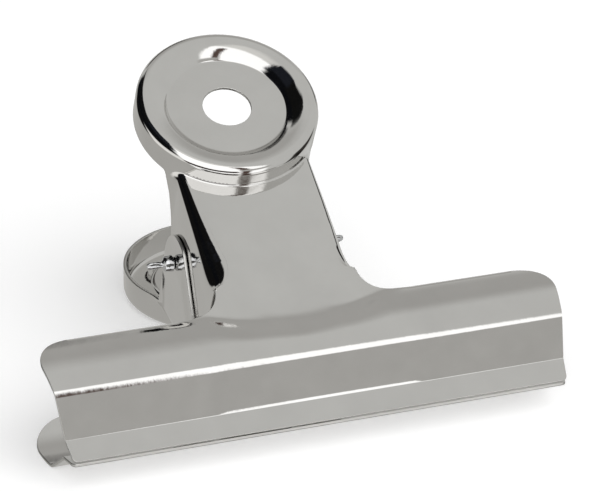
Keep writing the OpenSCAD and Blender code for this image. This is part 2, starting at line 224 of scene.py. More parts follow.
# %% [markdown]
# ## Rounded joins by distance
# Where the disc's wall meets the neck and the ears, the press leaves a small
# fillet. Two distance functions, one to the folded neck and one to the round wall,
# join in a rounded way, and any point near the join slides onto the result along
# its slope. The same slope is the exact normal, which bright metal needs: it shows
# every uneven triangle.

# %% Distance to the folded neck and the wall
NECK_FILLET, MORE_AT_EARS = 0.35, 1.25  # the fillet's radius, and how it grows down the ears


def pressed_distance(d, points):
    """Signed distance in mm to the disc's wall and the folded neck, joined with a fillet."""
    x, w, h = np.asarray(points, float).T
    r = fold_radius(d, w)
    qx, qh = np.abs(x) - (ear_half(d, w, h) - r), h + NECK_DROP + r
    neck = np.hypot(np.maximum(qx, 0), np.maximum(qh, 0)) + np.minimum(np.maximum(qx, qh), 0) - r
    neck = np.maximum(neck, 5 - w)
    wall = np.hypot(x, w) - RIM_R
    fillet = NECK_FILLET + MORE_AT_EARS * smooth(-1.4, -3.6, h)
    return np.maximum(fillet, np.minimum(neck, wall)) - np.hypot(
        np.maximum(fillet - neck, 0), np.maximum(fillet - wall, 0))


def slope(value, points, step=0.002):
    """The gradient of value at each point."""
    sides = [(value(points + step * e), value(points - step * e)) for e in np.eye(3)]
    return np.stack([(more - less) / (2 * step) for more, less in sides], 1)


def unit(vectors):
    return vectors / np.maximum(np.linalg.norm(vectors, axis=1, keepdims=True), 1e-12)


print("fold radius beside the pin:", round(float(fold_radius(FRONT, PIN_W)), 2), "mm")

# %% [markdown]
# ## Filling an outline
# Each region of the sheet is drawn flat: an outline, its holes, and points inside
# that are dense where the metal bends. One many-sided face could fill the outline
# too, but it couldn't bend. Delaunay triangulation joins the points, and triangles
# outside the outline or in a hole are dropped. Keeping the points on rows that
# follow the bends means that no triangle cuts across one.

# %% Triangulate an outline
def inside(points, loop):
    """Which points lie in a closed loop, by counting crossings."""
    x, y = points.T
    odd = np.zeros(len(points), bool)
    for (x0, y0), (x1, y1) in zip(loop, np.roll(loop, -1, 0)):
        if y0 != y1:
            odd ^= ((y0 > y) != (y1 > y)) & (x < (x1 - x0) * (y - y0) / (y1 - y0) + x0)
    return odd


def fill(outline, holes, inner, keep):
    """(points, triangles) of a flat region; inner points nearer than keep to its edges go."""
    loops = [np.asarray(loop, float) for loop in [outline, *holes]]
    edge = np.concatenate(loops)
    middles = (edge + np.roll(edge, -1, 0)) / 2
    inner = np.asarray(inner, float)
    inner = inner[inside(inner, loops[0])]
    for hole in loops[1:]:
        inner = inner[~inside(inner, hole)]
    near = np.array([np.min(np.hypot(*(edge - p).T)) for p in inner])
    near_mid = np.array([np.min(np.hypot(*(middles - p).T)) for p in inner])
    inner = inner[(near > keep) & (near_mid > keep * 0.8)]
    points = np.concatenate([edge, inner[np.lexsort(inner.T)]])
    links, start = [], 0
    for loop in loops:
        n = len(loop)
        links += [(start + k, start + (k + 1) % n) for k in range(n)]
        start += n
    out = geometry.delaunay_2d_cdt([tuple(p) for p in points], links, [], 0, 1e-7)
    verts, tris = np.array(out[0], float), np.array(out[2], int)
    mid = verts[tris].mean(1)
    good = inside(mid, loops[0])
    for hole in loops[1:]:
        good &= ~inside(mid, hole)
    return verts, tris[good]


# %% Round a corner, and space a line evenly
def arc_points(a, b, c, radius, step=6.0):
    """The rounded corner b between its neighbours a and c."""
    a, b, c = (np.asarray(p, float) for p in (a, b, c))
    if radius == 0:
        return [b]
    to_a, to_c = (a - b) / np.hypot(*(a - b)), (c - b) / np.hypot(*(c - b))
    half = math.acos(float(to_a @ to_c)) / 2
    middle = b + (to_a + to_c) / np.hypot(*(to_a + to_c)) * radius / math.sin(half)
    p, q = (b + t * radius / math.tan(half) - middle for t in (to_a, to_c))
    start, end = math.atan2(p[1], p[0]), math.atan2(q[1], q[0])
    turn = (end - start + math.pi) % (2 * math.pi) - math.pi
    n = max(2, math.ceil(abs(math.degrees(turn)) / step))
    angles = [start + turn * k / n for k in range(n + 1)]
    return [middle + radius * np.array([math.cos(a), math.sin(a)]) for a in angles]


def spaced(points, gap):
    """The same line with no two points further apart than gap."""
    points, out = np.asarray(points, float), []
    for p, q in zip(points[:-1], points[1:]):
        n = max(1, math.ceil(np.hypot(*(q - p)) / gap - 1e-9))
        out += [p + (q - p) * k / n for k in range(n)]
    return np.array([*out, points[-1]])


square = spaced([(0, 0), (9, 0), (9, 9), (0, 9), (0, 0)], 3)[:-1]
print("a square fills with", len(fill(square, [], [(4, 4), (5, 6)], 0.5)[1]), "triangles")

# %% [markdown]
# ## The pressed half
# One half is drawn as five regions that share their edges point by point: the face
# of the disc, its outer wall, the neck with the jaw, the two folds and the two
# ears. Sharing the edges is what makes it one sheet when they are joined. A rough
# box under a subdivision surface would be quicker to make, but its rounding would
# drift away from the drawing's.

# %% Lines that the regions share
FOLD_STEPS, FOLD_ROWS = 9, 36  # points across a fold and along it
EAR_TOP = 4.8  # how far an ear's straight top edge stands past the pin
CLEAR = 0.09  # inner points nearer than this to an outline are dropped


def shared_lines(d):
    """The lines where two regions meet, for the +x side, in (x, w, h)."""
    theta = np.linspace(0, math.pi / 2, FOLD_STEPS + 1)
    w = np.full(len(theta), 10.0)
    for _ in range(60):
        x = neck_half(d, w) - fold_radius(d, w) * (1 - np.sin(theta))
        w = np.sqrt(RIM_R**2 - x**2)  # settles where each line of the fold meets the wall
    rows_w = w[:, None] + (d["heel_w"] - w[:, None]) * np.linspace(0, 1, FOLD_ROWS + 1)[None]
    r = fold_radius(d, rows_w)
    fold = np.stack([neck_half(d, rows_w) - r * (1 - np.sin(theta[:, None])), rows_w,
                     -NECK_DROP - r * (1 - np.cos(theta[:, None]))], 2)
    start = math.asin(fold[0, 0, 0] / RIM_R)
    phi = np.linspace(0, start, math.ceil(math.degrees(start) / 2.5) + 1)
    top = np.stack([RIM_R * np.sin(phi), RIM_R * np.cos(phi), np.full(len(phi), -NECK_DROP)], 1)
    top[-1] = fold[0, 0]
    edge = [to_disc(PIN_U + EAR_TOP, 0), (d["edge_w"], -SKIRT)]
    ear_w = fold[-1, 0, 1]
    low = edge[0][1] + (edge[1][1] - edge[0][1]) * (ear_w - edge[0][0]) / (edge[1][0] - edge[0][0])
    low = min(low, -SKIRT)
    rows_h = np.linspace(fold[-1, 0, 2], low, math.ceil((fold[-1, 0, 2] - low) / 0.25) + 1)
    upright = np.repeat(fold[-1, :1], len(rows_h), 0)
    upright[1:, 2] = rows_h[1:]
    return {"fold": fold, "top": top, "upright": upright, "edge": edge, "slanted": low < -SKIRT}


def mirrored(line):
    """The same line on the other side, in the other direction."""
    return np.asarray(line)[::-1] * np.array([-1, *[1] * (np.shape(line)[1] - 1)])


# %% The outline of the neck and the jaw
STEP = 0.9  # the usual distance between points, in mm
LIP_U = 0.05  # the lip's front edge
NECK_ROWS = (0.1, 0.22, 0.36, 0.52, 0.72, 1.0, 1.4)  # distances from the disc's wall
BOW_ROWS = (0.25, 0.5, 0.75, 1, 1.3, 1.7, 2.2)  # distances from the bowed fold, both ways
BOW_REACH, BOW_CLEAR = 17.1, 2.4  # half the fold's length, and where other rows begin


def u_to_w(u):
    """The w of the disc's frame at a row u of the jaw."""
    return np.interp(u, jaw_table[:, 0], to_disc(*jaw_table.T)[0])


def plate_outline(d, lines):
    """The outline of the neck and the jaw as (x, w), all the way round."""
    heel, cut = d["heel_w"], SHOULDER_W - d["heel_w"]
    t = np.linspace(0, math.pi / 2, 16)
    scoop = np.stack([neck_half(d, heel) + cut * (1 - np.cos(t)), heel + cut * np.sin(t)], 1)
    back, lip = JAW_W / 2 + SHOULDER_U * END_LEAN, JAW_W / 2
    corner = arc_points((0, SHOULDER_U), (back, SHOULDER_U), (lip, 0), JAW_CORNER_R)
    small = arc_points((back, SHOULDER_U), (lip, LIP_U), (0, LIP_U), LIP_CORNER_R, 15)
    low, high = small[0], corner[-1]
    rows_u = jaw_rows[::-1, 0]
    ends = rows_u[(rows_u < high[1] - 0.1) & (rows_u > low[1] + 0.1)]
    side = np.stack([np.interp(ends, [low[1], high[1]], [low[0], high[0]]), ends], 1)
    shoulder = spaced([(scoop[-1, 0], SHOULDER_U), corner[0]], STEP)
    lips = spaced([small[-1], (0, LIP_U)], STEP)
    border = np.array([*shoulder, *corner[1:], *side, *small, *lips[1:]])
    border = np.stack([border[:, 0], u_to_w(border[:, 1])], 1)
    right = np.concatenate([lines["top"][:, :2], lines["fold"][0, 1:, :2], scoop, border[1:]])
    return np.concatenate([right, mirrored(right)[1:-1]])


# %% The neck and the jaw as one skin
def neck_and_jaw(d, lines):
    """(points, triangles): rows along the jaw, along the bowed fold and beside the wall."""
    inner = []
    for w in u_to_w(jaw_rows[1:-1, 0]):
        inner += [(x, w) for x in np.arange(-40.05, 40.1, STEP)
                  if w > bow_line(x) + BOW_CLEAR or abs(x) > BOW_REACH + 0.4]
    for x in np.arange(-BOW_REACH, BOW_REACH + 0.1, 0.6):
        inner += [(x, bow_line(x) + b) for b in (*(-r for r in BOW_ROWS), 0, *BOW_ROWS)]
    for x in np.arange(-BOW_REACH, BOW_REACH + 0.1, STEP):
        first = math.sqrt(max(RIM_R**2 - x**2, 0)) + 2.2
        inner += [(x, w) for w in np.arange(first, bow_line(x) - BOW_CLEAR, STEP)]
    for x, w in np.concatenate([mirrored(lines["top"]), lines["top"][1:]])[:, :2]:
        inner += [(x, w + b) for b in NECK_ROWS]
    flat, tris = fill(plate_outline(d, lines), [], inner, CLEAR)
    return np.column_stack([flat, plate_height(d, *flat.T)]), tris


# %% The ears
EAR_ROWS = (0.12, 0.26, 0.42, 0.62, 0.88, 1.2, 1.6, 2.0)  # distances from the disc's wall
KNEE_R, TOE_R = 4, 0.35  # the ear's knee, and its corner at the rim's edge


def grid_triangles(rows, columns, closed=False):
    """Triangles of a grid of points stored row by row."""
    k = np.arange(rows * columns).reshape(rows, columns)
    if closed:
        k = np.column_stack([k, k[:, 0]])
    a, b, c, e = k[:-1, :-1], k[:-1, 1:], k[1:, 1:], k[1:, :-1]
    return np.concatenate([np.stack(t, 2).reshape(-1, 3) for t in ((a, b, c), (a, c, e))])


def ear(d, lines):
    """One ear, flat in its own plane, with the pin's hole."""
    top, upright = lines["fold"][-1], lines["upright"]
    heel = d["heel_w"]
    knee_h = (d["knee_v"] - DISC_V + heel * DISC_S) / DISC_C
    corners = [(heel, top[-1, 2]), (heel, knee_h), *(to_disc(u, v) for u, v, _ in d["lobe"])]
    radii = [0, KNEE_R, *(r for _, _, r in d["lobe"])]
    if not lines["slanted"]:
        corners.append(lines["edge"][1])
        radii.append(TOE_R)
    corners.append(tuple(upright[-1, 1:]))
    loop = [corners[0]]
    for k in range(1, len(corners) - 1):
        loop += list(arc_points(corners[k - 1], corners[k], corners[k + 1], radii[k]))
    loop = spaced([*loop, corners[-1]], 0.5)
    outline = np.concatenate([top[:, 1:], loop[1:], upright[::-1][1:-1, 1:]])
    t = np.linspace(0, 2 * math.pi, 41)[:-1]
    hole = np.stack([PIN_W + PIN_HOLE_R * np.cos(t), PIN_H + PIN_HOLE_R * np.sin(t)], 1)
    inner = [(w, h) for w in np.arange(8, 33, 0.7) for h in np.arange(-26, -1, 0.7)
             if w > top[0, 1] + 2.2]
    for b in EAR_ROWS:
        inner += [(upright[0, 1] + b, h) for h in np.arange(upright[0, 2] - 0.2, -16, -0.3)]
    flat, tris = fill(outline, [hole], inner, CLEAR)
    return np.column_stack([ear_half(d, *flat.T), flat]), tris


# %% The disc's outer wall
WALL_ROWS = (0.1, 0.22, 0.36, 0.52, 0.72, 1.0, 1.35, 1.7, 2.1, 2.6, 3.1)  # above the join


def wall(lines, phi):
    """The disc's outer wall, from the crest's end down to its edge, the neck and the ears."""
    crest = RIM_H - CREST_R
    edge = lines["edge"]
    join = np.concatenate([lines["top"], lines["fold"][1:, 0], lines["upright"][1:]])
    angle = np.arctan2(join[:, 0], join[:, 1])
    arc = lambda p, h: np.stack([RIM_R * np.asarray(p), np.asarray(h)], 1)
    far = arc([math.pi], [-SKIRT])[0]
    right = arc(angle, join[:, 2])
    if lines["slanted"]:
        slant = np.linspace(join[-1, 1], edge[1][0], 8)[1:]
        slant_h = np.interp(slant, [edge[1][0], join[-1, 1]], [edge[1][1], join[-1, 2]])
        slant_line = arc(np.arccos(slant / RIM_R), slant_h)
        rounding = arc_points(slant_line[0], slant_line[-1], far, 1.0, 8)
        slant_line = slant_line[slant_line[:, 1] < rounding[0][1] - 0.1]
        right = np.concatenate([right, slant_line, rounding])
    rim_phi = phi[(RIM_R * phi > right[-1, 0] + 0.2) & (phi < math.pi - 1e-6)]
    right = np.concatenate([right, arc(rim_phi, np.full(len(rim_phi), -SKIRT)), [far]])
    rise = np.linspace(-SKIRT, crest, 8)
    seam = arc(np.full(6, math.pi), rise[1:-1])
    crest_line = arc(np.concatenate([-phi[::-1], phi[1:]]), np.full(2 * len(phi) - 1, crest))
    outline = np.concatenate([right, seam, crest_line[::-1], mirrored(seam), mirrored(right)[:-1]])
    inner = [(RIM_R * p, h) for p in phi[phi > angle[-1] + 0.16] for h in rise[1:-1]]
    for x, w, h in np.concatenate([lines["top"], lines["fold"][1:-1, 0]]):
        inner += [(RIM_R * math.atan2(x, w), h + b) for b in WALL_ROWS if h + b < crest - 0.12]
    for b in (*EAR_ROWS[:-1], 2.05):
        inner += [(RIM_R * angle[-1] + b, h) for h in np.arange(crest - 0.25, -6.5, -0.3)]
    inner += [(-a, h) for a, h in inner if a > 0]
    flat, tris = fill(outline, [], inner, CLEAR)
    a, h = flat.T
    points = np.stack([RIM_R * np.sin(a / RIM_R), RIM_R * np.cos(a / RIM_R), h], 1)
    return points, tris


# %% The disc's face
def disc_profile():
    """Radius and height of the disc's face from the hole to the crest's end, with normals."""
    wide, deep = RIM_R - CREST_R - FLAT_R, RIM_H - FLAT_H
    turn = 2 * math.atan(deep / wide)
    swell = wide / math.sin(turn) - COVE_R
    rows = [(r, FLAT_H, 0, 1) for r in (HOLE_R, 3.9, 4.3, 5.2, 6.6, 7.6)]
    for a in np.linspace(0, turn, 15):
        rows.append((FLAT_R + COVE_R * math.sin(a), FLAT_H + COVE_R * (1 - math.cos(a)),
                     -math.sin(a), math.cos(a)))
    for radius, start, end, n in ((swell, -turn, 0, 21), (CREST_R, 0, math.pi / 2, 17)):
        for a in np.linspace(start, end, n)[1:]:
            rows.append((RIM_R - CREST_R + radius * math.sin(a), RIM_H - radius * (1 - math.cos(a)),
                         math.sin(a), math.cos(a)))
    return np.array(rows)


def disc_face(profile, around):
    """The profile turned round the disc's axis."""
    return np.stack([np.outer(profile[:, 0], np.sin(around)),
                     np.outer(profile[:, 0], np.cos(around)),
                     np.repeat(profile[:, 1:2], len(around), 1)], 2).reshape(-1, 3)


print(len(disc_profile()), "rings on the disc's face")

# %% [markdown]
# ## Joining the regions and giving the sheet its thickness
# The regions are welded, moved onto the rounded joins, and offset by the sheet's
# thickness along the exact normals. The cut edge all round gets a strip of four
# narrow faces, a little proud in the middle, as a sheared and plated edge is. The
# normals are kept as custom normals, so that long triangles don't show as facets.

# %% Weld the regions, and find the free edge
def weld(regions):
    """One list of points and triangles from regions that share their edges."""
    points = np.concatenate([p for p, _ in regions])
    starts = np.cumsum([0] + [len(p) for p, _ in regions])
    tris = np.concatenate([t + s for (_, t), s in zip(regions, starts)])
    _, first, where = np.unique(np.round(points, 4), axis=0, return_index=True, return_inverse=True)
    tris = where.ravel()[tris]
    used = (tris[:, 0] != tris[:, 1]) & (tris[:, 1] != tris[:, 2]) & (tris[:, 0] != tris[:, 2])
    return points[first], tris[used]


def free_edge(outer, normal, tris):
    """Edges that only one triangle has, their points, and the way out of the sheet there."""
    pairs = np.concatenate([tris[:, [0, 1]], tris[:, [1, 2]], tris[:, [2, 0]]]).tolist()
    known = {(i, j) for i, j in pairs}
    rim = np.array([(i, j) for i, j in pairs if (j, i) not in known])
    along = np.zeros_like(outer)
    for i, j in rim:
        step = (outer[j] - outer[i]) / max(np.linalg.norm(outer[j] - outer[i]), 1e-9)
        along[i] += step
        along[j] += step
    ring = np.unique(rim)
    return rim, ring, unit(np.cross(unit(along[ring]), normal[ring]))


# %% Give the sheet its thickness
# The five lines of the cut edge: how deep in the sheet, how far proud, and how much
# the line's normal takes from the sheet's normal and from the way out.
CUT_LINES = [(0, 0, 1, 0.35), (0.07, 0.04, 0.55, 1), (0.25, 0.06, 0, 1),
             (0.43, 0.04, -0.55, 1), (SHEET, 0, -1, 0.35)]


def sheet_mesh(outer, normal, tris):
    """A closed sheet of even thickness: (points, faces, one normal for each corner of a face)."""
    a, b, c = (outer[tris[:, k]] for k in range(3))
    wrong = np.einsum("ij,ij->i", np.cross(b - a, c - a), normal[tris].sum(1)) < 0
    tris[wrong] = tris[wrong][:, ::-1]
    rim, ring, out = free_edge(outer, normal, tris)
    n = len(outer)
    place = {v: k for k, v in enumerate(ring.tolist())}
    points = [outer, outer - normal * SHEET]
    tilted = []
    for depth, bulge, up, side in CUT_LINES:
        tilted.append(unit(normal[ring] * up + out * side))
        if 0 < depth < SHEET:
            points.append(outer[ring] - normal[ring] * depth + out * bulge)

    def spot(level, v):
        """The number of rim point v on one of the five lines."""
        if level in (0, 4):
            return v + (n if level else 0)
        return 2 * n + (level - 1) * len(ring) + place[v]

    faces = tris.tolist() + (tris[:, ::-1] + n).tolist()
    corners = [normal[tris].reshape(-1, 3), -normal[tris[:, ::-1]].reshape(-1, 3)]
    for i, j in rim.tolist():
        for k in range(4):
            ends = ((k, i), (k + 1, i), (k + 1, j), (k, j))
            faces.append([spot(*e) for e in ends])
            corners.append(np.array([tilted[level][place[v]] for level, v in ends]))
    return np.concatenate(points), faces, np.concatenate(corners)


# %% Make an object of a mesh
def make_object(name, points, faces, corner_normals=None):
    """A mesh object from points in millimetres."""
    mesh = bpy.data.meshes.new(name)
    mesh.from_pydata((np.asarray(points) / 1000).tolist(), [], faces)
    mesh.polygons.foreach_set("use_smooth", [True] * len(mesh.polygons))
    if corner_normals is not None:
        mesh.normals_split_custom_set(corner_normals.tolist())
    obj = bpy.data.objects.new(name, mesh)
    bpy.context.scene.collection.objects.link(obj)
    return obj


# %% Slide the joins into place, and find the exact normals
def settled(d, points, profile):
    """(points, normals): the joined parts moved onto their rounded form."""
    x, w, h = points.T
    reach = np.hypot(x, w)
    on_face = (h > RIM_H - CREST_R - 1e-3) | (reach < RIM_R - 0.01) & (h > -0.01)
    flat_half = neck_half(d, w) - fold_radius(d, w) + 1e-4
    on_plate = ~on_face & (((w > 17) & (np.abs(x) < flat_half)) | (w > d["heel_w"] + 0.02))
    joined = ~on_face & ~on_plate
    distance = lambda p: pressed_distance(d, p)
    for _ in range(4):
        g = slope(distance, points[joined])
        points[joined] -= g * (distance(points[joined]) / np.maximum((g**2).sum(1), 1e-9))[:, None]
    normal = np.zeros_like(points)
    normal[joined] = unit(slope(distance, points[joined]))
    height = lambda p: p[:, 2] - plate_height(d, p[:, 0], p[:, 1])
    normal[on_plate] = unit(slope(height, points[on_plate]))
    r = np.maximum(reach[on_face], 1e-9)
    out, up = (np.interp(r, profile[:, 0], profile[:, k]) for k in (2, 3))
    outward = points[on_face][:, :2] / r[:, None]
    normal[on_face] = unit(np.column_stack([outward * out[:, None], up]))
    return points, normal


# %% Build one half
def pressed_half(name, d):
    """One half as an object, with its cut edge in the second material slot."""
    lines = shared_lines(d)
    fold = lines["fold"]
    neck_phi = np.arctan2(*np.concatenate([lines["top"], fold[1:, 0]])[:, :2].T)
    phi = np.concatenate([neck_phi, np.linspace(neck_phi[-1], math.pi, 53)[1:]])
    around = np.concatenate([phi, -phi[1:-1][::-1]])
    profile = disc_profile()
    face = disc_face(profile, around), grid_triangles(len(profile), len(around), True)
    folded = fold.reshape(-1, 3), grid_triangles(*fold.shape[:2])
    regions = [face, wall(lines, phi), neck_and_jaw(d, lines)]
    for points, tris in (folded, ear(d, lines)):
        regions += [(points, tris), (points * np.array([-1, 1, 1]), tris)]
    points, tris = weld(regions)
    points, normal = settled(d, points, profile)
    origin = on_desk(from_disc(np.zeros((1, 3)), d["side"]))
    outer = on_desk(from_disc(points, d["side"])) * 1000
    turned = (on_desk(from_disc(normal, d["side"])) - origin) * 1000
    obj = make_object(name, *sheet_mesh(outer, unit(turned), tris))
    cut_edge = np.arange(len(obj.data.polygons)) >= 2 * len(tris)
    obj.data.polygons.foreach_set("material_index", cut_edge.astype(np.int32))
    print(f"{name}: {len(obj.data.vertices)} points, {len(obj.data.polygons)} faces")
    return obj


front_half = pressed_half("front_half_skin", FRONT)
rear_half = pressed_half("rear_half_skin", REAR)

# %% [markdown]
# ## The pivot pin
# The pin is plain wire rod. After it is pushed through the four ears, its ends are
# squeezed in a tool: a collar swells out next to the ear so that the pin can't
# leave, then the rod narrows to a waist and ends in a flattened blade. Stacked
# cylinders would show a seam at every change. Lofting rounded sections along x
# gives all of that as one skin.

# %% Rings and their faces
def ring_faces(count, sides, inward=False):
    """Faces that join rings of points, with a cap at both ends."""
    faces = []
    for r in range(count - 1):
        for k in range(sides):
            a, b = r * sides + k, r * sides + (k + 1) % sides
            faces.append([b, a, a + sides, b + sides] if inward else [a, b, b + sides, a + sides])
    first, last = list(range(sides)), [(count - 1) * sides + k for k in range(sides)]
    return faces + ([first, last[::-1]] if inward else [first[::-1], last])


def loft(stations, sides):
    """Points and faces along x of rounded sections (x, height, thickness, squareness)."""
    a = np.linspace(0, 2 * math.pi, sides, endpoint=False)
    rounded = lambda wave, n: np.sign(wave) * np.abs(wave) ** (2 / n)
    rings = [np.stack([np.full(sides, x), t * rounded(np.sin(a), n), h * rounded(np.cos(a), n)], 1)
             for x, h, t, n in stations]
    return np.concatenate(rings), ring_faces(len(rings), sides)


# %% Loft the pin
PIN_FACE = REAR["half_w"] + EAR_GAP / 2
PIN_ENDS = [  # distance past the collar's face, height, thickness, squareness
    (-0.05, PIN_R, PIN_R, 2), (0.02, 1.08, 1.1, 2.2), (0.16, 1.2, 1.16, 2.4),
    (0.7, 1.19, 1.08, 2.5), (1.25, 1.16, 1.1, 2.3), (1.42, 1.02, 0.98, 2.1),
    (1.52, 0.74, 0.7, 2), (1.66, 0.55, 0.5, 2), (1.85, 0.46, 0.42, 2), (2.05, 0.5, 0.4, 2.2),
    (2.3, 0.6, 0.36, 2.6), (2.9, 0.65, 0.34, 3), (3.5, 0.6, 0.32, 3), (3.85, 0.5, 0.28, 2.8),
    (4.02, 0.36, 0.2, 2.4), (4.1, 0.12, 0.08, 2)]
right_end = [(PIN_FACE + x, h, t, n) for x, h, t, n in PIN_ENDS]
left_end = [(-x, h, t, n) for x, h, t, n in right_end[::-1]]
rod_between = [(x, PIN_R, PIN_R, 2) for x in (-9, -4, 0, 4, 9)]
pin_points, pin_faces = loft(left_end + rod_between + right_end, 40)
pin_points = on_desk(pin_points + np.array([0, PIN_U, 0])) * 1000
pin = make_object("pivot_pin_skin", pin_points, pin_faces)
print("pin length:", round(right_end[-1][0] * 2, 2), "mm")

# %% [markdown]
# ## The spring
# The spring is one length of hard drawn wire, coiled round the pin, with a straight
# leg to the back of each thumb disc and a foot that bears on it. A curve object with
# a round bevel could draw it. Here it has to bend point by point across the hinge,
# so we write its centre line with rounded bends and sweep a circle along it, keeping
# the circle's turn from point to point so that the tube never twists.

# %% The spring's centre line
WIRE_R, COIL_R, TURNS, PITCH = 0.55, 2.2, 6, 1.65
FOOT_W, FOOT_L, FOOT_BEND_R = 6.6, 3.0, 1.0  # where a foot starts, its length, its bend
BACK_GAP = 0.1  # between a foot and the back of the disc's flat
foot_h = FLAT_H - SHEET - BACK_GAP - WIRE_R


def from_pin(w, h):
    """(u, v) from the pin, in the side view, of a point of the front disc's frame."""
    return from_disc([(0, w, h)], 1)[0, 1:] - np.array([PIN_U, 0])


foot_bend, foot_tip = from_pin(FOOT_W, foot_h), from_pin(FOOT_W - FOOT_L, foot_h)
leg_angle = math.atan2(foot_bend[1], foot_bend[0]) + math.acos(COIL_R / np.hypot(*foot_bend))
coil_start = COIL_R * np.array([math.cos(leg_angle), math.sin(leg_angle)])
share = np.linspace(0, 1, 34 * TURNS)  # of the way along the coil
bend = arc_points(foot_tip, foot_bend, coil_start, FOOT_BEND_R, 10)
middle = foot_tip + (foot_bend - foot_tip) * 0.4
leg = spaced([foot_tip, middle, *bend, coil_start], 1.2)[:-1]
turned = leg_angle + (2 * math.pi * (TURNS + 1) - 2 * leg_angle) * share
coil_half = TURNS * PITCH / 2
coil = np.stack([coil_half * (2 * share - 1), COIL_R * np.cos(turned), COIL_R * np.sin(turned)], 1)
line = np.concatenate([np.column_stack([np.full(len(leg), -coil_half), leg]), coil,
                       np.column_stack([np.full(len(leg), coil_half), leg * (1, -1)])[::-1]])
print(f"spring wire: {np.linalg.norm(np.diff(line, axis=0), axis=1).sum():.1f} mm long")


# %% Sweep the wire
TIP_L, TIP_SHRINK = 0.06, 0.85  # the wire's cut ends: how far they round out, and how much


def tube(line, radius, sides):
    """Points and faces of a round tube along a line, with slightly rounded ends."""
    tangent = unit(np.gradient(line, axis=0))
    side = unit(np.cross(tangent[:1], [[1.0, 0, 0]]))[0]
    a = np.linspace(0, 2 * math.pi, sides, endpoint=False)[:, None]
    rings = []
    for p, t in zip(line, tangent):
        side = side - (side @ t) * t
        side /= np.linalg.norm(side)
        rings.append(p + radius * (np.cos(a) * side + np.sin(a) * np.cross(t, side)))
    first, last = line[0] - tangent[0] * TIP_L, line[-1] + tangent[-1] * TIP_L
    rings = [first + (rings[0] - line[0]) * TIP_SHRINK, *rings,
             last + (rings[-1] - line[-1]) * TIP_SHRINK]
    return np.concatenate(rings), ring_faces(len(rings), sides, inward=True)


wire_points, wire_faces = tube(line, WIRE_R, 16)
wire_points = on_desk(wire_points + np.array([0, PIN_U, 0])) * 1000
spring = make_object("torsion_spring_skin", wire_points, wire_faces)

# %% [markdown]
# ## Which body each skin moves with
# The real front half swings on the pin, and the pin stays in the rear half's ears.
# The halves and the pin ride on their CAD bodies, and each skin hides its CAD node
# to stand in for it. The spring could ride on one half too, but its other leg would
# then stab through a neck when the discs are squeezed, so it rides on no body.

# %% Each skin rides on its body, if it has one, and stands for its node
for skin, body, cad_node, finish in [
    (front_half, "front_half", "front_plate", "nickel_plate"),
    (rear_half, "rear_half", "rear_plate", "nickel_plate"),
    (pin, "rear_half", "pivot_pin", "pin_steel"),
    (spring, None, "torsion_spring", "spring_steel"),
]:
    if body:
        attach(skin, body)
    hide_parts(cad_node)
    print(f"{skin.name} stands for {cad_node}")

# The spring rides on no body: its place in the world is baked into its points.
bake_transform(spring)

# %% [markdown]
# ## Metal finishes
# Four metals show, and one function makes them all, because they differ only in
# tint, haze and waver. Brightened nickel plate is an even mirror with a trace of
# warmth. It follows the rolled sheet under it, so reflections waver slightly, and a
# fine haze takes the edge off them. A flat grey with a gloss value would do from far
# away, but the highlights' edges need both the waver and the haze.

# %% A helper for nodes, and colours
def node(tree, kind, settings=(), **links):
    """Adds a node with its settings (in_ for an input) and links its inputs, by name or _number."""
    made = tree.nodes.new(kind)
    for key, value in dict(settings).items():
        if key.startswith("in_"):
            key = key[3:]
            made.inputs[int(key) if key.isdigit() else key].default_value = value
        else:
            setattr(made, key, value)
    for key, source in links.items():
        key = key.replace("_", " ").strip()
        tree.links.new(source, made.inputs[int(key) if key.isdigit() else key])
    return made


def colour(hex_code):
    """An sRGB hex code as linear RGBA."""
    parts = [int(hex_code[k:k + 2], 16) / 255 for k in (1, 3, 5)]
    return [p / 12.92 if p <= 0.04045 else ((p + 0.055) / 1.055) ** 2.4 for p in parts] + [1.0]


print("mid grey is", [round(c, 3) for c in colour("#808080")])

# %% One recipe for all four metals
CLOUD_MM = 6.25  # patches of slightly thicker plate
HAZE_MM = 2.4  # finger marks and the sheet's own uneven polish
WAVE_LENGTHS = 3.85  # the long waves under the fine peel, in lengths of the peel
WAVE_HEIGHT = 2.4  # and their height, in heights of the peel


